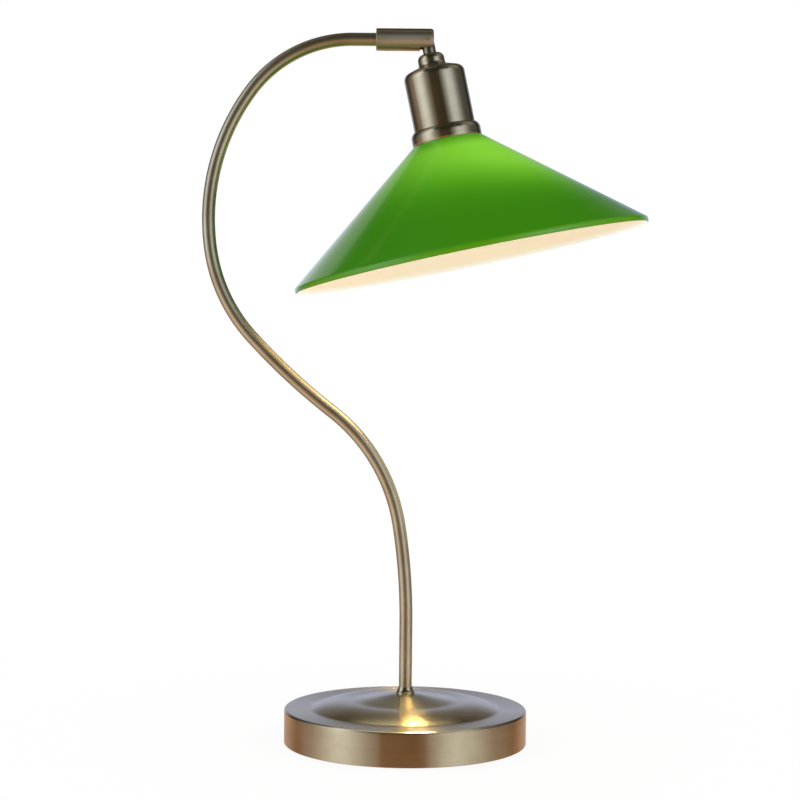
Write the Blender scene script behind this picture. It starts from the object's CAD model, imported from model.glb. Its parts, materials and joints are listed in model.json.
import json
import math
import bmesh
import bpy
from mathutils import Matrix, Vector


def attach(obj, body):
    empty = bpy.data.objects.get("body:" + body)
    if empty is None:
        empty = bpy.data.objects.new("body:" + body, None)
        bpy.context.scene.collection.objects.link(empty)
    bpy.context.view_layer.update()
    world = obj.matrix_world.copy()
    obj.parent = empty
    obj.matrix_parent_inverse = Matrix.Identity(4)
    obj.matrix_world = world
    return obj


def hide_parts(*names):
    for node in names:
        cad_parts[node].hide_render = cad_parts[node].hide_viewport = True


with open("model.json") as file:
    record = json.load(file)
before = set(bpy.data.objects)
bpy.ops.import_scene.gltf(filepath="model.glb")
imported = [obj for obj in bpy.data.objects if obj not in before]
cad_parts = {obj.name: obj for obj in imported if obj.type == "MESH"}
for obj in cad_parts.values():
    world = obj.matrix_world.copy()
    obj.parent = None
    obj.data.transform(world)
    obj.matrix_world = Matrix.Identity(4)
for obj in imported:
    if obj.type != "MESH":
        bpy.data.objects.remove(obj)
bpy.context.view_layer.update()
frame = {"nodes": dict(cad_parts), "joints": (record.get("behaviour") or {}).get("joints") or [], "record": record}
nodes = frame["nodes"]
record = frame["record"]
scene = bpy.context.scene
scene.view_settings.view_transform = "Standard"
slotOf = {part["node"]: part["material_slot"] for part in record["subparts"]}
print("frame loaded:", len(nodes), "nodes")


class Wire:
    # one output socket; sums and products of wires add Math nodes
    def __init__(self, finish, socket):
        self.finish = finish
        self.socket = socket

    def other(self, output):
        return Wire(self.finish, self.socket.node.outputs[output])

    def maths(self, operation, *values):
        return self.finish.add("ShaderNodeMath", {"operation": operation}, dict(enumerate(values)))

    def __add__(self, other):
        return self.maths("ADD", self, other)

    def __radd__(self, other):
        return self.maths("ADD", other, self)

    def __sub__(self, other):
        return self.maths("SUBTRACT", self, other)

    def __rsub__(self, other):
        return self.maths("SUBTRACT", other, self)

    def __mul__(self, other):
        return self.maths("MULTIPLY", self, other)

    def __rmul__(self, other):
        return self.maths("MULTIPLY", other, self)

    def __truediv__(self, other):
        return self.maths("DIVIDE", self, other)

    def __rtruediv__(self, other):
        return self.maths("DIVIDE", other, self)

    def __pow__(self, other):
        return self.maths("POWER", self, other)

    def __rpow__(self, other):
        return self.maths("POWER", other, self)

    def __abs__(self):
        return self.maths("ABSOLUTE", self)


class Finish:
    # the node tree of a material or of the world
    def __init__(self, owner):
        owner.use_nodes = True
        self.owner = owner
        self.tree = owner.node_tree
        self.tree.nodes.clear()

    def add(self, kind, settings=None, sockets=None, output=0):
        node = self.tree.nodes.new(kind)
        for key, value in (settings or {}).items():
            setattr(node, key, value)
        for key, value in (sockets or {}).items():
            if isinstance(value, Wire):
                self.tree.links.new(value.socket, node.inputs[key])
            else:
                node.inputs[key].default_value = value
        return Wire(self, node.outputs[output])

    def blend(self, first, second, factor):
        return self.add("ShaderNodeMix", {"data_type": "RGBA"}, {0: factor, 6: first, 7: second}, 2)

    def ramp(self, value, low, high):  # 0 below low, 1 above high, smooth between
        limits = {"Value": value, "From Min": low, "From Max": high}
        return self.add("ShaderNodeMapRange", {"interpolation_type": "SMOOTHSTEP"}, limits)

    def spot(self):  # the object's own coordinates
        return self.add("ShaderNodeTexCoord", output="Object")

    def place(self):  # and their three parts
        spot = self.spot()
        x = self.add("ShaderNodeSeparateXYZ", None, {0: spot}, "X")
        return spot, x, x.other("Y"), x.other("Z")

    def radius(self, x, y):  # from the Z axis, never quite nothing
        return (x * x + y * y + 1e-8) ** 0.5

    def vector(self, x, y, z):
        return self.add("ShaderNodeCombineXYZ", None, {0: x, 1: y, 2: z})

    def noise(self, where, scale=1.0, detail=2.0, roughness=0.5):
        sockets = {"Vector": where, "Scale": scale, "Detail": detail, "Roughness": roughness}
        return self.add("ShaderNodeTexNoise", None, sockets, "Fac")

    def bump(self, height, strength, distance):
        sockets = {"Height": height, "Strength": strength, "Distance": distance}
        return self.add("ShaderNodeBump", None, sockets)

    def surface(self, sockets):
        self.addOutput(self.add("ShaderNodeBsdfPrincipled", None, sockets))

    def addOutput(self, shader):
        kind = "ShaderNodeOutputWorld" if isinstance(self.owner, bpy.types.World) else "ShaderNodeOutputMaterial"
        target = self.tree.nodes.new(kind)
        self.tree.links.new(shader.socket, target.inputs["Surface"])


def newFinish(name):
    return Finish(bpy.data.materials.new(name))


# Camera: where the photo was taken from, in metres and degrees
view = {
    "place": (-0.0058, -1.303, 0.2765),
    "pitch": 1.13,
    "roll": 0.52,
    "lens": 80.235,
    "sensor": 36.0,
    "near": 0.01,
}


def setCamera():
    pitch = math.radians(view["pitch"])
    roll = math.radians(view["roll"])
    forward = Vector((0, math.cos(pitch), -math.sin(pitch)))
    level = Vector((1, 0, 0))
    upright = Vector((0, math.sin(pitch), math.cos(pitch)))
    right = math.cos(roll) * level + math.sin(roll) * upright
    up = math.cos(roll) * upright - math.sin(roll) * level
    data = bpy.data.cameras.new("camera")
    data.lens = view["lens"]
    data.sensor_width = view["sensor"]
    data.sensor_fit = "HORIZONTAL"
    data.clip_start = view["near"]
    camera = bpy.data.objects.new("camera", data)
    turn = Matrix((right, up, -forward)).transposed().to_4x4()
    camera.matrix_world = Matrix.Translation(view["place"]) @ turn
    scene.collection.objects.link(camera)
    scene.camera = camera


setCamera()
print("camera set")


# Studio: soft panels at both sides with a dark gap at the camera, and a pale wall behind. Turns are in degrees from
# the camera, to the right as the camera sees it
studio = {
    "ambient": (0.86, 0.87, 0.88, 1),  # what matt surfaces get from all round
    "gap": (-24.0, 21.0),
    "gapSoft": 1.5,
    # in the pairs, the first is near the table and the second above it
    "left": {"peak": -67.0, "inner": 42.0, "outer": (41.0, 52.0), "power": (1.0, 1.0)},
    "right": {"peak": 52.0, "inner": 36.0, "outer": (54.0, 56.0), "power": (0.95, 0.86)},
    "lean": 9.0,  # the right panel's upper part stands nearer to the camera
    "foot": 5.0,  # and so does the left one's lower part
    "least": 0.2,  # of a panel, at its ends
    "end": (114.0, 125.0),
    "endSoft": 6.0,  # times the gap's softness
    "border": (-0.16, -0.06),  # between the table's glow and what stands above it
    "panelHigh": (1.32, 1.55, 2.2, 1),
    "panelLow": (1.0, 1.05, 1.2, 1),
    "contrast": 0.7,  # added to the panels' power above the table
    "top": (0.33, 0.62),  # heights where the panels end
    "topLift": 0.25,  # more than that at the sides
    "topSides": (0.8, 1.2),
    "darkHigh": (0.03, 0.035, 0.028, 1),
    "darkLow": (0.41, 0.232, 0.16, 1),
    "farLow": (0.62, 0.42, 0.33, 1),  # the table behind the lamp
    "farStart": (118.0, 148.0),
    "backStart": 148.0,
    "backSoft": 12.0,
    "backTone": (0.5, 0.56, 0.78, 1),
    "backUpper": (0.5, 0.45, 0.42, 1),
    "backTurn": (0.2, 0.6),  # heights where its tone turns
    "backLow": (0.64, (0.14, 0.42)),  # shares of its light lost upwards
    "backHigh": (0.36, (0.42, 0.76)),
    "roofTone": (0.4, 0.4, 0.45, 1),  # above, at both sides
    "roofSides": ((1.4, 1.75), (2.1, 2.35)),
    "roofHeight": (0.45, 0.65),
}


def makeWorld():
    look = studio
    sky = Finish(bpy.data.worlds.new("studio"))
    scene.world = sky.owner
    way = sky.add("ShaderNodeTexCoord", output="Generated")
    x = sky.add("ShaderNodeSeparateXYZ", None, {0: way}, "X")
    y, z = x.other("Y"), x.other("Z")
    soft = math.radians(look["gapSoft"])
    turn = x.maths("ARCTAN2", x, 0 - y)
    reach = abs(turn)
    high = sky.ramp(z, *look["border"])

    def rise(pair, unit=1.0):  # the first value near the table, the second above it
        return unit * pair[0] + unit * (pair[1] - pair[0]) * high

    def makePanel(side, away, turn):
        bend = turn - math.radians(side["peak"])
        near = 1 - sky.ramp(0 - away * bend, 0.0, math.radians(side["inner"]))
        far = 1 - sky.ramp(away * bend, 0.0, rise(side["outer"], math.radians(1)))
        return rise(side["power"]) * (look["least"] + (1 - look["least"]) * near * far)

    left, right = (math.radians(edge) for edge in look["gap"])
    openLeft = 1 - sky.ramp(turn, left - soft, left + soft)
    leant = turn + math.radians(look["lean"]) * high
    openRight = sky.ramp(leant, right - soft, right + soft)
    footed = turn - math.radians(look["foot"]) * (1 - high)
    panel = openLeft * makePanel(look["left"], -1, footed) + openRight * makePanel(look["right"], 1, leant)
    past = reach - rise(look["end"], math.radians(1))
    endSoft = look["endSoft"] * soft
    panel = panel * (1 - sky.ramp(past, -endSoft, endSoft))
    crown = 1 - sky.ramp(z - look["topLift"] * sky.ramp(reach, *look["topSides"]), *look["top"])
    back = math.radians(look["backStart"])
    backSoft = math.radians(look["backSoft"])
    wall = sky.ramp(reach, back - backSoft, back + backSoft) * high
    (lowShare, lowFade), (highShare, highFade) = look["backLow"], look["backHigh"]
    wall = wall * (1 - lowShare * sky.ramp(z, *lowFade) - highShare * sky.ramp(z, *highFade))
    wallTone = sky.blend(look["backTone"], look["backUpper"], sky.ramp(z, *look["backTurn"]))
    roofStart, roofEnd = look["roofSides"]
    roof = sky.ramp(reach, *roofStart) * (1 - sky.ramp(reach, *roofEnd)) * sky.ramp(z, *look["roofHeight"])
    far = sky.ramp(reach, *(math.radians(edge) for edge in look["farStart"]))
    table = sky.blend(look["darkLow"], look["farLow"], far)
    dark = sky.blend(table, look["darkHigh"], high)
    light = sky.blend(look["panelLow"], look["panelHigh"], high)
    tent = sky.blend(dark, light, panel ** (1 + look["contrast"] * high) * crown)
    tent = sky.blend(tent, look["roofTone"], roof)
    tent = sky.blend(tent, wallTone, wall)
    ray = sky.add("ShaderNodeLightPath", output="Is Camera Ray")
    shiny = ray.maths("MAXIMUM", ray.other("Is Glossy Ray"), ray.other("Is Transmission Ray"))
    seen = sky.blend(look["ambient"], tent, shiny)
    seen = sky.blend(seen, (1, 1, 1, 1), ray)
    sky.addOutput(sky.add("ShaderNodeBackground", None, {"Color": seen, "Strength": 1.0}))


makeWorld()


# Floor: a pale sheet that shows white to the camera and keeps a faint shadow
floorSheet = {
    "half": 4.0,
    "tone": (0.92, 0.92, 0.92, 1),
    "speck": (0.96, 0.96, 0.96, 1),
    "grain": 900.0,
    "bounce": (0.3, 0.3, 0.3, 1),  # what the lamp gets back from it
    "white": 0.9,  # share of pure white next to the lamp
    "near": 0.14,
    "far": 0.5,
}


def makeFloor():
    look = floorSheet
    half = look["half"]
    mesh = bpy.data.meshes.new("floor")
    mesh.from_pydata([(-half, -half, 0), (half, -half, 0), (half, half, 0), (-half, half, 0)], [], [(0, 1, 2, 3)])
    floor = bpy.data.objects.new("floor", mesh)
    scene.collection.objects.link(floor)
    paper = newFinish("floorPaper")
    spot, x, y, _ = paper.place()
    ray = paper.add("ShaderNodeLightPath", output="Is Camera Ray")
    tone = paper.blend(look["tone"], look["speck"], paper.noise(spot, look["grain"]))
    tone = paper.blend(look["bounce"], tone, ray)
    matt = paper.add("ShaderNodeBsdfDiffuse", None, {"Color": tone})
    glow = paper.add("ShaderNodeEmission", None, {"Color": (1, 1, 1, 1), "Strength": 1.0})
    reach = (x * x + y * y) ** 0.5
    away = paper.ramp(reach, look["near"], look["far"])  # pure white away from the lamp
    white = look["white"] + (1 - look["white"]) * away
    paper.addOutput(paper.add("ShaderNodeMixShader", None, {0: ray * white, 1: matt, 2: glow}))
    mesh.materials.append(paper.owner)
    floor.visible_glossy = False  # the metal shows the tent, also below the horizon


makeFloor()


# Lamps: two large soft ones at the sides, and five that each light one piece: the bulb on the base, the lit shade on
# the tube from its mouth and from its flank, one above for the base's rim and one behind for the glass's edge
softLamps = {
    "left": {"place": (-1.3, -0.9, 0.9), "aim": (0.02, 0, 0.32), "size": 1.1, "watts": 5.0},
    "right": {"place": (1.2, -1.0, 0.8), "aim": (0.02, 0, 0.32), "size": 1.1, "watts": 5.0},
    "bulb": {
        "place": (0.0399, 0, 0.3796), "aim": (0.01, -0.03, 0.03), "size": 0.075, "watts": 3.3,
        "tone": (1.0, 0.81, 0.43),
    },
    "mouth": {
        "place": (0.092, 0, 0.382), "aim": (0.133, 0, 0.187), "size": 0.16, "watts": 0.2,
        "tone": (1.0, 0.93, 0.82),
    },
    "flank": {
        "place": (0.42, 0.16, 0.32), "aim": (0, 0, 0.2), "size": 0.36, "watts": 0.3,
        "tone": (1.0, 0.89, 0.62),
    },
    "rim": {"place": (0, 0, 1.5), "aim": (0, 0, 0), "size": 2.3, "watts": 11.4},
    "edge": {
        "place": (-0.3, 1.15, 0.76), "aim": (0.02, 0, 0.4), "size": 1.1, "watts": 1.2,
        "tone": (1.0, 0.98, 0.82),
    },
}
onePieceLamps = ("bulb", "mouth", "flank", "rim", "edge")
litBy = {name: bpy.data.collections.new(name + "Lit") for name in onePieceLamps}


def makeLamps():
    for name, look in softLamps.items():
        data = bpy.data.lights.new(name + "Lamp", "AREA")
        data.shape = "DISK"
        data.size = look["size"]
        data.energy = look["watts"]
        data.color = look.get("tone", (1, 1, 1))
        lamp = bpy.data.objects.new(name + "Lamp", data)
        lamp.location = look["place"]
        lamp.rotation_euler = (Vector(look["aim"]) - lamp.location).to_track_quat("-Z", "Y").to_euler()
        lamp.visible_camera = False
        lamp.visible_glossy = name in litBy
        scene.collection.objects.link(lamp)
        if name in litBy:
            lamp.light_linking.receiver_collection = litBy[name]


makeLamps()
print("studio set")


# Antique brass: fine turning or drawing lines, patches of age, thin lacquer
agedBrass = {
    "metal": (0.58, 0.485, 0.285, 1),
    "aged": (0.43, 0.33, 0.17, 1),
    "patch": 26.0,  # patches of age, per metre
    "patchEdge": (0.38, 0.72),
    "patchAge": 0.5,  # how much the patches and the lines darken the metal
    "lineAge": 0.3,
    "leastAge": 0.1,
    "gloss": (0.8, 0.28, 0.12),  # shares of the roughness: everywhere, lines, hairs
    "relief": 0.08,
    "hairRelief": 0.6,
    "reliefDepth": 0.00003,
    "lacquer": {"Coat Weight": 0.15, "Coat Roughness": 0.2},
}
turnedLines = {
    "coarse": 620.0,  # per metre of profile
    "fine": 2600.0,
    "coarseTurn": 0.7,  # how much a line changes on its way round
    "fineTurn": 2.2,
    "flat": 0.83,  # spacing on a flat face
    "sheen": {"Anisotropic": 0.9, "Anisotropic Rotation": 0.25},
}
drawnTube = {
    **agedBrass,
    "metal": (0.66, 0.56, 0.34, 1),
    "relief": 0.012,
    "roughness": 0.36,
    "lines": (40, 9),  # round the tube, and per metre along it
    "hairs": (110, 30),
}
castGrain = {"lines": 900, "hairs": 2600}


def brassFinish(brass, lines, hairs, spot, roughness, settings, look=agedBrass):
    line = brass.noise(lines, detail=3.0)
    hair = brass.noise(hairs)
    patch = brass.ramp(brass.noise(spot, look["patch"], detail=4.0, roughness=0.6), *look["patchEdge"])
    age = look["patchAge"] * patch + look["lineAge"] * line + look["leastAge"]
    least, lineGloss, hairGloss = look["gloss"]
    sockets = {
        "Base Color": brass.blend(look["metal"], look["aged"], age),
        "Metallic": 1.0,
        "Roughness": roughness * (least + lineGloss * line + hairGloss * hair),
        "Normal": brass.bump(line + look["hairRelief"] * hair, look["relief"], look["reliefDepth"]),
    }
    brass.surface({**sockets, **look["lacquer"], **settings})
    return brass.owner


def turnedFinish(name, roughness):  # lines run round the piece's own Z axis
    look = turnedLines
    brass = newFinish(name)
    spot, x, y, z = brass.place()
    radius = brass.radius(x, y)
    along = z + look["flat"] * radius
    coarse, fine = look["coarseTurn"], look["fineTurn"]
    lines = brass.vector(x / radius * coarse, y / radius * coarse, along * look["coarse"])
    hairs = brass.vector(x / radius * fine, y / radius * fine, along * look["fine"])
    return brassFinish(brass, lines, hairs, spot, roughness, look["sheen"])


def drawnFinish():  # lines run along the tube
    look = drawnTube
    brass = newFinish("drawnBrass")
    turn = brass.add("ShaderNodeUVMap", {"uv_map": "along"})
    u = brass.add("ShaderNodeSeparateXYZ", None, {0: turn}, "X")
    v = u.other("Y")
    lines, hairs = (brass.vector(u * across, v * along, 0.0) for across, along in (look["lines"], look["hairs"]))
    return brassFinish(brass, lines, hairs, brass.spot(), look["roughness"], {}, look)


def castFinish(name, roughness, look=agedBrass):  # small parts with no clear lines
    brass = newFinish(name)
    spot, x, y, z = brass.place()
    grains = (castGrain["lines"], castGrain["hairs"])
    lines, hairs = (brass.vector(x * grain, y * grain, z * grain) for grain in grains)
    return brassFinish(brass, lines, hairs, spot, roughness, {}, look)


# Plated steel: a fine grain along Z and wide, darker blotches
platedSteel = {
    "grain": (400, 400, 1500),
    "blotch": 60.0,
    "dim": 0.8,
    "gloss": (0.75, 0.5),
    "relief": (0.15, 0.0001),
}


def steelFinish(name, tone, roughness):
    look = platedSteel
    steel = newFinish(name)
    spot, x, y, z = steel.place()
    wide, deep, tall = look["grain"]
    grain = steel.noise(steel.vector(x * wide, y * deep, z * tall), detail=3.0)
    dim = tuple(look["dim"] * value for value in tone[:3]) + (1,)
    least, more = look["gloss"]
    steel.surface({
        "Base Color": steel.blend(tone, dim, steel.noise(spot, look["blotch"], detail=3.0)),
        "Metallic": 1.0,
        "Roughness": roughness * (least + more * grain),
        "Normal": steel.bump(grain, *look["relief"]),
    })
    return steel.owner


# Matt parts: a fine grain in wider clouds
mattGrain = {"cloud": 12, "shares": (0.6, 0.4), "gloss": (0.85, 0.3), "relief": 0.35}


def mattFinish(name, tone, dim, roughness, scale, reliefDepth):
    look = mattGrain
    matt = newFinish(name)
    spot = matt.spot()
    grain = matt.noise(spot, scale, detail=4.0, roughness=0.6)
    cloud = matt.noise(spot, scale / look["cloud"])
    cloudShare, grainShare = look["shares"]
    least, more = look["gloss"]
    matt.surface({
        "Base Color": matt.blend(tone, dim, cloudShare * cloud + grainShare * grain),
        "Roughness": roughness * (least + more * grain),
        "Normal": matt.bump(grain, look["relief"], reliefDepth),
    })
    return matt.owner


# Opal bulb, lit, with a faint veil
litBulb = {
    "glass": (0.9, 0.88, 0.84, 1),
    "cool": (1.0, 0.66, 0.36, 1),
    "hot": (1.0, 0.82, 0.58, 1),
    "veil": 45.0,
    "hotShares": (0.35, 0.65),
    "gloss": (0.2, 0.1),
    "power": 2.0,
}


def bulbFinish():
    look = litBulb
    opal = newFinish("litOpal")
    veil = opal.noise(opal.spot(), look["veil"], detail=3.0)
    leastHot, moreHot = look["hotShares"]
    least, more = look["gloss"]
    opal.surface({
        "Base Color": look["glass"],
        "Roughness": least + more * veil,
        "Emission Color": opal.blend(look["cool"], look["hot"], leastHot + moreHot * veil),
        "Emission Strength": look["power"],
    })
    return opal.owner


turnedBrass = turnedFinish("turnedBrass", roughness=0.21)
knuckleBrass = turnedFinish("knuckleBrass", roughness=0.42)
drawnBrass = drawnFinish()
plainBrass = castFinish("plainBrass", roughness=0.24)
pinBrass = castFinish("pinBrass", roughness=0.6)
neckTones = {**agedBrass, "metal": (0.3, 0.25, 0.15, 1), "aged": (0.2, 0.16, 0.09, 1)}
neckBrass = castFinish("neckBrass", roughness=0.3, look=neckTones)
mattSlots = {  # name, tone, dimmer tone, roughness, grain per metre, depth of its relief
    "cast_iron": ("castIron", (0.15, 0.15, 0.16, 1), (0.08, 0.08, 0.085, 1), 0.75, 700.0, 0.0004),
    "felt": ("feltPad", (0.035, 0.085, 0.045, 1), (0.02, 0.05, 0.028, 1), 0.95, 1600.0, 0.0005),
    "black_rubber": ("rubberBush", (0.03, 0.03, 0.03, 1), (0.018, 0.018, 0.018, 1), 0.6, 900.0, 0.0001),
    "white_plastic": ("paleMoulding", (0.8, 0.79, 0.75, 1), (0.7, 0.69, 0.65, 1), 0.4, 800.0, 0.00006),
    "black_plastic": ("darkMoulding", (0.035, 0.035, 0.036, 1), (0.022, 0.022, 0.023, 1), 0.42, 800.0, 0.00008),
    "flex_jacket": ("flexJacket", (0.74, 0.71, 0.61, 1), (0.62, 0.59, 0.5, 1), 0.5, 700.0, 0.00006),
}
slotFinish = {
    **{slot: mattFinish(*look) for slot, look in mattSlots.items()},
    "antique_brass": plainBrass,
    "steel": steelFinish("platedSteel", (0.62, 0.62, 0.61, 1), roughness=0.38),
    "contact_brass": steelFinish("contactBrass", (0.72, 0.55, 0.26, 1), roughness=0.3),
    "opal_bulb": bulbFinish(),
}
nodeFinish = {"pivot_pins": pinBrass, "pivot_stem": neckBrass}
for nodeName, part in nodes.items():
    finish = nodeFinish.get(nodeName) or slotFinish.get(slotOf[nodeName], plainBrass)
    for slot in part.material_slots:
        slot.material = finish
print("finishes made")


# The head hangs from its pivot, tilted outwards
headPlace = {"pivot": Vector(frame["joints"][0]["pos_m"]), "tilt": 12.0}
headMatrix = Matrix.Translation(headPlace["pivot"]) @ Matrix.Rotation(-math.radians(headPlace["tilt"]), 4, "Y")


# Turned pieces are drawn as a run of (radius, height) points and spun round their own Z axis
sharpAngle = math.radians(35)  # edges sharper than this stay crisp


def softCorners(points, radii, steps):  # the run with its corners rounded
    path = []
    for i, (point, radius) in enumerate(zip(points, radii)):
        here = Vector(point)
        if not radius:
            path.append(here)
            continue
        before = (Vector(points[i - 1]) - here).normalized()
        after = (Vector(points[(i + 1) % len(points)]) - here).normalized()
        half = before.angle(after) / 2
        middle = here + (before + after).normalized() * (radius / math.sin(half))
        start = here + before * (radius / math.tan(half)) - middle
        sweep = start.angle_signed(here + after * (radius / math.tan(half)) - middle)
        for k in range(steps + 1):
            turn = -sweep * k / steps
            c, s = math.cos(turn), math.sin(turn)
            path.append(middle + Vector((c * start.x - s * start.y, s * start.x + c * start.y)))
    return path


def fillPath(path, longest):  # no step of the profile longer than this
    full = []
    for first, second in zip(path, path[1:] + path[:1]):
        count = max(1, math.ceil((second - first).length / longest))
        full += [first.lerp(second, k / count) for k in range(count)]
    return full


def meshFrom(name, shape):
    mesh = bpy.data.meshes.new(name)
    shape.to_mesh(mesh)
    shape.free()
    return mesh


def pieceFrom(name, shape, matrix):
    bmesh.ops.recalc_face_normals(shape, faces=shape.faces)
    mesh = meshFrom(name, shape)
    mesh.set_sharp_from_angle(angle=sharpAngle)
    piece = bpy.data.objects.new(name, mesh)
    piece.matrix_world = matrix
    scene.collection.objects.link(piece)
    return piece


def turnPiece(name, path, sides, matrix):
    shape = bmesh.new()
    rings = []
    for k in range(sides):
        turn = 2 * math.pi * k / sides
        c, s = math.cos(turn), math.sin(turn)
        rings.append([shape.verts.new((p.x * c, p.x * s, p.y)) for p in path])
    count = len(path)
    for k in range(sides):
        ring, following = rings[k], rings[(k + 1) % sides]
        for i in range(count):
            j = (i + 1) % count
            face = shape.faces.new((ring[i], following[i], following[j], ring[j]))
            face.smooth = True
    return pieceFrom(name, shape, matrix)


def standsFor(piece, body, node, *finishes):
    for finish in finishes:
        piece.data.materials.append(finish)
    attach(piece, body)
    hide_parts(node)


def fromPivot(points):  # millimetres to metres, levels down the head's axis
    return [Vector((radius / 1000, -level / 1000)) for radius, level in points]


def fromTable(points):  # millimetres to metres, heights up from the table
    return [Vector((radius / 1000, height / 1000)) for radius, height in points]


def arcPoints(start, end, radius, steps):  # the short arc, bulging to the left when the radius is positive
    chord = end - start
    side = Vector((-chord.y, chord.x)).normalized() * math.copysign(1, radius)
    middle = (start + end) / 2 - side * math.sqrt(radius**2 - (chord.length / 2) ** 2)
    sweep = 2 * math.asin(chord.length / 2 / abs(radius)) * -math.copysign(1, radius)
    spoke = start - middle
    path = []
    for k in range(steps + 1):
        turn = sweep * k / steps
        c, s = math.cos(turn), math.sin(turn)
        path.append(middle + Vector((c * spoke.x - s * spoke.y, s * spoke.x + c * spoke.y)))
    return path


def cutAway(piece, cutter):
    cut = piece.modifiers.new("cut", "BOOLEAN")
    cut.operation = "DIFFERENCE"
    cut.solver = "EXACT"
    cut.object = cutter
    scene.collection.objects.link(cutter)
    done = bpy.data.meshes.new_from_object(piece.evaluated_get(bpy.context.evaluated_depsgraph_get()))
    piece.modifiers.clear()
    plain, piece.data = piece.data, done
    bpy.data.meshes.remove(plain)
    bpy.data.objects.remove(cutter)
    done.name = piece.name
    done.set_sharp_from_angle(angle=sharpAngle)


def boxCutter(low, high):
    shape = bmesh.new()
    size = Vector(high) - Vector(low)
    place = Matrix.Translation((Vector(high) + Vector(low)) / 2) @ Matrix.Diagonal(size.to_4d())
    bmesh.ops.create_cube(shape, size=1.0, matrix=place)
    return bpy.data.objects.new("boxCutter", meshFrom("boxCutter", shape))


def rodCutter(start, end, radius, sides=48):
    shape = bmesh.new()
    way = Vector(end) - Vector(start)
    place = Matrix.Translation((Vector(start) + Vector(end)) / 2) @ way.to_track_quat("Z", "Y").to_matrix().to_4x4()
    bmesh.ops.create_cone(
        shape, cap_ends=True, segments=sides, radius1=radius, radius2=radius, depth=way.length, matrix=place
    )
    for face in shape.faces:
        face.smooth = True
    return bpy.data.objects.new("rodCutter", meshFrom("rodCutter", shape))


# Base cover: a spun sheet with a flat ring, a swelling and a hollow sweep up to the stem
baseCover = {
    "radius": 88.5, "lift": 0.5, "lip": 0.3, "flat": 25.3, "rimRound": 1.6, "ringInner": 68.7,
    "crest": (41.0, 31.0), "hollow": 42.0, "hollowEnd": (33.995, 31.588), "land": (8.5, 35.9), "hole": 4.9,
    "wall": 1.2, "inletHeight": 9.8, "inletRadius": 4.6, "inletReach": 8.0,
}


def makeBaseCover():
    look = baseCover
    wide, flat, lift, lip = look["radius"], look["flat"], look["lift"], look["lip"]
    crest, land, ringInner, wall = look["crest"], look["land"], look["ringInner"], look["wall"]
    side = fromTable([(wide - lip, lift), (wide, lift + lip), (wide, flat), (ringInner, flat)])
    outer = softCorners(side, (0, 0, look["rimRound"] / 1000, 0), steps=12)
    rise = crest[1] - flat
    swell = ((ringInner - crest[0]) ** 2 + rise**2) / (2 * rise)
    outer += arcPoints(*fromTable([(ringInner, flat), crest]), -swell / 1000, steps=24)[1:]
    outer += arcPoints(*fromTable([crest, look["hollowEnd"]]), look["hollow"] / 1000, steps=12)[1:]
    outer += fromTable([land, (look["hole"], land[1])])
    inner = []
    for i, point in enumerate(outer):  # the sheet's inner side
        along = outer[min(i + 1, len(outer) - 1)] - outer[max(i - 1, 0)]
        inner.append(point + Vector((-along.y, along.x)).normalized() * wall / 1000)
    inner[:2] = fromTable([(wide - wall, lift), (wide - wall, lift + lip)])
    inner[-1:] = fromTable([(look["hole"], land[1] - wall)])
    path = fillPath(outer + inner[::-1], longest=0.003)
    cover = turnPiece("baseCover", path, sides=256, matrix=Matrix())
    height, depth, reach = look["inletHeight"] / 1000, wide / 1000, look["inletReach"] / 1000
    cutAway(cover, rodCutter((0, depth - reach, height), (0, depth + reach, height), look["inletRadius"] / 1000))
    standsFor(cover, "stand", "base_cover", turnedBrass)
    litBy["bulb"].objects.link(cover)
    litBy["rim"].objects.link(cover)


# Collar: a small flare where the tube meets the base
stemCollar = {"bore": 4.8, "radius": 6.8, "bottom": 35.9, "edge": 37.2, "top": 40.9, "lip": 5.25, "sweep": 6.0}


def makeStemCollar():
    look = stemCollar
    path = fromTable([(look["bore"], look["bottom"]), (look["radius"], look["bottom"])])
    flare = fromTable([(look["radius"], look["edge"]), (look["lip"], look["top"])])
    path += arcPoints(*flare, look["sweep"] / 1000, steps=10)
    path += fromTable([(look["bore"], look["top"])])
    collar = turnPiece("stemCollar", fillPath(path, longest=0.0008), sides=96, matrix=Matrix())
    standsFor(collar, "stand", "stem_collar", turnedBrass)


# Arm: a bent tube; each bend is a radius and a turn in degrees, left turns positive
armTube = {
    "foot": 17.9, "straight": 88.0, "endRun": 34.6, "radius": 4.75, "wall": 1.2, "sides": 56, "step": 1.6,
    "bends": [(442.0, 9.3), (130.0, 43.2), (470.0, -9.9), (119.0, -33.8), (157.0, -45.1), (92.0, -53.7)],
}


def armLine():  # points of the centre line with the way it runs at each, in metres
    look = armTube
    step = look["step"] / 1000
    spot, heading = Vector((0, 0, look["foot"] / 1000)), math.pi / 2
    line = []

    def run(length, turn):
        nonlocal spot, heading
        count = max(1, round(length / step))
        for k in range(count):
            line.append((spot.copy(), heading))
            half = heading + turn / count / 2
            chord = length / count
            if turn:
                chord *= math.sin(turn / count / 2) / (turn / count / 2)
            spot += Vector((math.cos(half), 0, math.sin(half))) * chord
            heading += turn / count

    run((look["straight"] - look["foot"]) / 1000, 0)
    for radius, turn in look["bends"]:
        run(radius / 1000 * math.radians(abs(turn)), math.radians(turn))
    run(look["endRun"] / 1000, 0)
    line.append((spot.copy(), heading))
    return line


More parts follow.
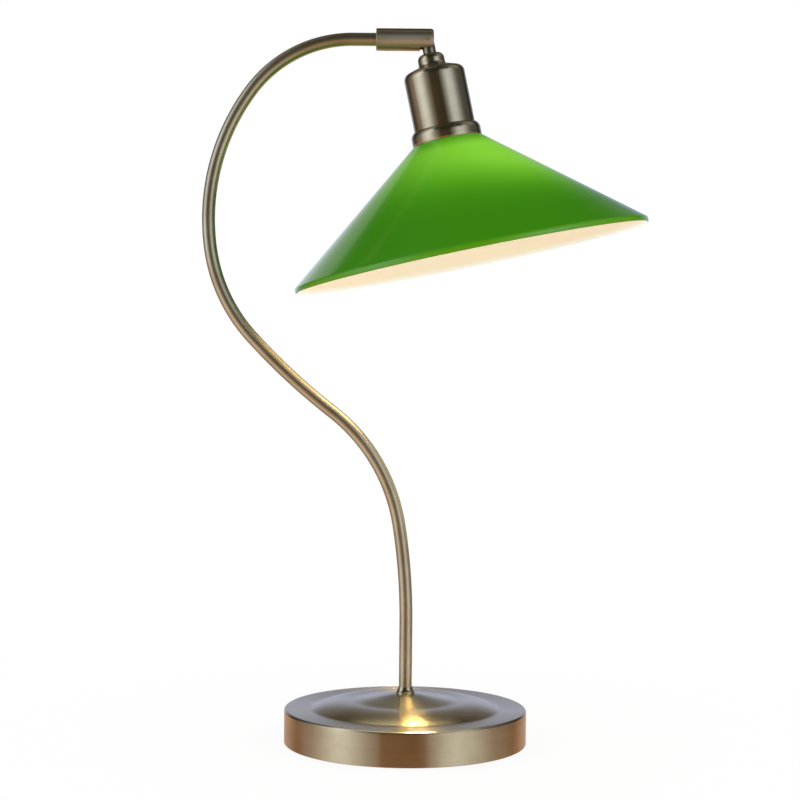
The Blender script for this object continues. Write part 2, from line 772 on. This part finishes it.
def makeArmTube():
    look = armTube
    line = armLine()
    across = Vector((0, 1, 0))
    shape = bmesh.new()
    uvLayer = shape.loops.layers.uv.new("along")
    sides = look["sides"]
    skins = []
    for radius in (look["radius"] / 1000, (look["radius"] - look["wall"]) / 1000):
        rings = []
        for spot, heading in line:
            up = Vector((-math.sin(heading), 0, math.cos(heading)))
            ring = []
            for k in range(sides):
                turn = 2 * math.pi * k / sides
                ring.append(shape.verts.new(spot + radius * (math.cos(turn) * up + math.sin(turn) * across)))
            rings.append(ring)
        skins.append(rings)

    def strip(first, second, distance, span):
        for k in range(sides):
            j = (k + 1) % sides
            face = shape.faces.new((first[k], first[j], second[j], second[k]))
            face.smooth = True
            places = ((k, distance), (k + 1, distance), (k + 1, distance + span), (k, distance + span))
            for loop, (turn, length) in zip(face.loops, places):
                loop[uvLayer].uv = (turn / sides, length)

    step = look["step"] / 1000
    for rings in skins:
        for i in range(len(rings) - 1):
            strip(rings[i], rings[i + 1], i * step, step)
    strip(skins[0][0], skins[1][0], 0, step)
    strip(skins[0][-1], skins[1][-1], len(line) * step, step)
    tube = pieceFrom("armTube", shape, Matrix())
    standsFor(tube, "stand", "arm_tube", drawnBrass)
    litBy["mouth"].objects.link(tube)
    litBy["flank"].objects.link(tube)


# Knuckle: a short turned bar on the end of the tube, slotted below and at its end for the head's neck
knuckleBody = {
    "length": 41.9, "radius": 8.1, "edge": 0.5, "endRound": 2.2, "setback": 4.9,
    "bore": 4.8, "boreDepth": 18.0, "wireBore": 3.0,
    "slotHalf": 5.2, "slotRoom": 5.1, "pin": 1.8, "grub": 2.05, "grubPlace": 9.0,
}


def makeKnuckle():
    look = {key: value / 1000 for key, value in knuckleBody.items()}
    length, radius, edge = look["length"], look["radius"], look["edge"]
    bar = [
        (look["bore"], 0), (radius - edge, 0), (radius, edge), (radius, length), (look["wireBore"], length),
        (look["wireBore"], look["boreDepth"]), (look["bore"], look["boreDepth"]),
    ]
    rounds = (0, edge / 3, edge / 3, look["endRound"], 0, 0, 0)
    pivot = headPlace["pivot"]
    start = pivot - Vector((length - look["setback"], 0, 0))
    matrix = Matrix.Translation(start) @ Matrix.Rotation(math.pi / 2, 4, "Y")  # its axis runs along X
    path = fillPath(softCorners(bar, rounds, steps=8), longest=0.002)
    knuckle = turnPiece("knuckleBody", path, sides=96, matrix=matrix)
    slot = Vector((look["slotRoom"], look["slotHalf"], 0))
    low = pivot - slot - Vector((0, 0, 2 * radius))
    high = pivot + Vector((2 * look["setback"], look["slotHalf"], look["slotRoom"]))
    cutAway(knuckle, boxCutter(low, high))
    across = Vector((0, 2 * radius, 0))
    cutAway(knuckle, rodCutter(pivot - across, pivot + across, look["pin"]))
    grub = start + Vector((look["grubPlace"], 0, 0))
    cutAway(knuckle, rodCutter(grub, grub - Vector((0, 0, 2 * radius)), look["grub"]))
    standsFor(knuckle, "stand", "knuckle_body", knuckleBrass)


makeBaseCover()
makeStemCollar()
makeArmTube()
makeKnuckle()
print("stand made")


# Bell cap: a rounded crown that flares on to the cup
bellCap = {
    "points": [(4.55, 10.362), (9.8, 10.362), (9.8, 17.162)],
    "round": 4.4, "flare": 3.2, "flareSteps": 10, "foot": 20.362,
}


def makeBellCap():
    look = bellCap
    path = softCorners(fromPivot(look["points"]), (0, look["round"] / 1000, 0), steps=12)
    waist = look["points"][-1]
    for k in range(1, look["flareSteps"] + 1):  # the flare, a quarter circle that ends flat on the cup
        turn = math.pi / 2 * k / look["flareSteps"]
        radius = waist[0] + look["flare"] * (1 - math.cos(turn))
        level = waist[1] + look["flare"] * math.sin(turn)
        path += fromPivot([(radius, level)])
    path += fromPivot([(look["points"][0][0], look["foot"])])
    cap = turnPiece("bellCap", fillPath(path, longest=0.0012), sides=128, matrix=headMatrix)
    standsFor(cap, "head", "bell_cap", turnedBrass)


# Cup over the lampholder: a spun sheet with a sloping top
holderCup = {
    "outer": [(4.55, 20.362), (13.6, 20.362), (22.4, 23.362), (22.4, 64.762)],
    "outerRounds": (0, 3.0, 5.2, 0),
    "inner": [(21.4, 64.762), (21.4, 24.26), (13.4, 21.362), (4.55, 21.362)],
    "innerRounds": (0, 4.2, 4.0, 0),
}


def makeHolderCup():
    look = holderCup
    outer = softCorners(fromPivot(look["outer"]), [r / 1000 for r in look["outerRounds"]], steps=12)
    inner = softCorners(fromPivot(look["inner"]), [r / 1000 for r in look["innerRounds"]], steps=10)
    cup = turnPiece("holderCup", fillPath(outer + inner, longest=0.0015), sides=160, matrix=headMatrix)
    standsFor(cup, "head", "holder_cup", turnedBrass)


# Gallery: the ring that carries the glass, with a rounded side
galleryRing = {
    "hole": 20.6, "shoulder": 22.8, "radius": 25.6, "top": 64.762, "bead": 5.0, "beadSteps": 12, "foot": 74.962,
    "bevel": (0.35, 0.5), "seat": 71.458, "skirt": 24.2, "lip": 73.848,
}


def makeGallery():
    look = galleryRing
    points = [(look["hole"], look["top"])]
    width = look["radius"] - look["shoulder"]
    beadRadius = (width**2 + look["bead"]**2) / (2 * width)
    sweep = math.asin(look["bead"] / beadRadius)
    for k in range(look["beadSteps"] + 1):
        turn = sweep * (1 - k / look["beadSteps"])
        level = look["top"] + look["bead"] - beadRadius * math.sin(turn)
        points.append((look["radius"] - beadRadius * (1 - math.cos(turn)), level))
    inward, up = look["bevel"]
    points += [(look["radius"], look["foot"] - up), (look["radius"] - inward, look["foot"])]
    points += [(look["skirt"], look["lip"]), (look["skirt"], look["seat"]), (look["hole"], look["seat"])]
    path = fillPath(fromPivot(points), longest=0.0012)
    ring = turnPiece("galleryRing", path, sides=160, matrix=headMatrix)
    standsFor(ring, "head", "gallery_ring", turnedBrass)


makeBellCap()
makeHolderCup()
makeGallery()
print("head metal made")


# Shade: cased glass, green outside and opal white inside, lit from within near the neck
glassShade = {
    "hole": 20.6, "land": 22.2, "top": 72.4575, "radius": 130.8, "rim": 158.842, "depth": 4.472,
    "edgeRound": 2.0, "innerRound": 0.9,
    "green": (0.05, 0.262, 0.004, 1),
    "deep": (0.039, 0.219, 0.002, 1),
    "deepLevels": (0.08, 0.15),  # levels are metres down the axis from the pivot
    "deepShares": (0.85, 0.15),  # of the level, of the clouds
    "cloud": 14.0,
    "seed": 900.0,  # small seeds in the glass
    "gloss": (0.3, 0.1),
    "coat": (0.96, 0.04),
    "polish": {"Specular IOR Level": 0.0, "Coat Roughness": 0.13, "Coat IOR": 1.5},  # only the coat is glossy
    "relief": (0.02, 0.0002),
    "cloudRelief": 2.0,
    "glow": (0.268, 0.6, 0.05, 1),  # the bulb's light through the glass, from the neck down
    "glowDim": (0.12, 0.5, 0.01, 1),
    "glowLevels": (0.087, 0.152),
    "glowFall": 2.3,
    "glowSides": (0.63, 0.3),  # middle, and how much more on the outer side
    "skew": 0.006,  # how much further down the light goes there
    "neckGlow": 0.15,  # share of the light under the gallery
    "neckLevels": (0.074, 0.085),
    "rimGlow": (0.06, 0.12, 0.002, 1),
    "rimLevels": (0.1575, 0.1605),
    "opal": ((0.86, 0.84, 0.8, 1), (0.8, 0.78, 0.73, 1)),
    "opalCloud": 30.0,
    "opalGloss": (0.22, 0.1),
    "opalRelief": (0.05, 0.0002),
    "opalStart": 0.8,  # share of the glass's depth
    "inside": 0.55,  # the lit opal's own glow
    "warm": ((1.0, 0.76, 0.4, 1), (1.0, 0.8, 0.46, 1)),
    "white": (1.04, 1.12, 0.98, 1),  # its glow at the very rim
    "whiteLevels": (0.158, 0.1633),
}


def greenFinish():
    look = glassShade
    glass = newFinish("casedGreen")
    spot, x, y, z = glass.place()
    level = 0 - z
    cloud = glass.noise(spot, look["cloud"], detail=3.0)
    seed = glass.noise(spot, look["seed"])
    deepShare, cloudShare = look["deepShares"]
    deep = deepShare * glass.ramp(level, *look["deepLevels"]) + cloudShare * cloud
    side = x / glass.radius(x, y)  # 1 on the outer side
    skewed = level - look["skew"] * (side + glass.ramp(side, 0.0, 1.0))
    fade = (1 - glass.ramp(skewed, *look["glowLevels"])) ** look["glowFall"]
    lit = fade * (look["neckGlow"] + (1 - look["neckGlow"]) * glass.ramp(level, *look["neckLevels"]))
    middle, outer = look["glowSides"]
    lit = lit * (middle + outer * side)
    lit = lit * (1 - glass.add("ShaderNodeLightPath", output="Is Glossy Ray"))  # the brass shows the glass unlit
    glow = glass.blend((0, 0, 0, 1), glass.blend(look["glowDim"], look["glow"], fade), lit)
    glow = glass.blend(glow, look["rimGlow"], glass.ramp(level, *look["rimLevels"]))
    least, more = look["gloss"]
    leastCoat, moreCoat = look["coat"]
    glass.surface({
        "Base Color": glass.blend(look["green"], look["deep"], deep),
        "Roughness": least + more * cloud,
        "Coat Weight": leastCoat + moreCoat * seed,
        "Emission Color": glow,
        "Emission Strength": 1.0,
        "Normal": glass.bump(seed + look["cloudRelief"] * cloud, *look["relief"]),
        **look["polish"],
    })
    return glass.owner


def opalFinish():
    look = glassShade
    opal = newFinish("casedOpal")
    spot, _, _, z = opal.place()
    cloud = opal.noise(spot, look["opalCloud"], detail=3.0)
    glow = opal.blend(*look["warm"], cloud)
    least, more = look["opalGloss"]
    opal.surface({
        "Base Color": opal.blend(*look["opal"], cloud),
        "Roughness": least + more * cloud,
        "Emission Color": opal.blend(glow, look["white"], opal.ramp(0 - z, *look["whiteLevels"])),
        "Emission Strength": look["inside"],
        "Normal": opal.bump(cloud, *look["opalRelief"]),
    })
    return opal.owner


def makeShade():
    look = glassShade
    slope = (look["rim"] - look["top"]) / (look["radius"] - look["land"])
    innerTop = look["top"] + (look["hole"] - look["land"]) * slope + look["depth"]
    corners = [
        (look["hole"], look["top"]),
        (look["land"], look["top"]),
        (look["radius"], look["rim"]),
        (look["radius"], look["rim"] + look["depth"]),
        (look["hole"], innerTop),
    ]
    rounds = [0, 0, look["edgeRound"] / 1000, look["innerRound"] / 1000, 0]
    path = fillPath(softCorners(fromPivot(corners), rounds, steps=10), longest=0.004)
    shade = turnPiece("glassShade", path, sides=256, matrix=headMatrix)
    standsFor(shade, "head", "glass_shade", greenFinish(), opalFinish())
    litBy["edge"].objects.link(shade)
    middle = look["depth"] * look["opalStart"] / 1000
    edge = (look["radius"] - look["innerRound"]) / 1000
    for face in shade.data.polygons:  # opal on the inner face only, green on the rim's edge
        radius = math.hypot(face.center.x, face.center.y)
        cone = -(look["top"] / 1000 + (radius - look["land"] / 1000) * slope)
        face.material_index = 1 if radius < edge and face.center.z < cone - middle else 0


makeShade()
print("shade made")
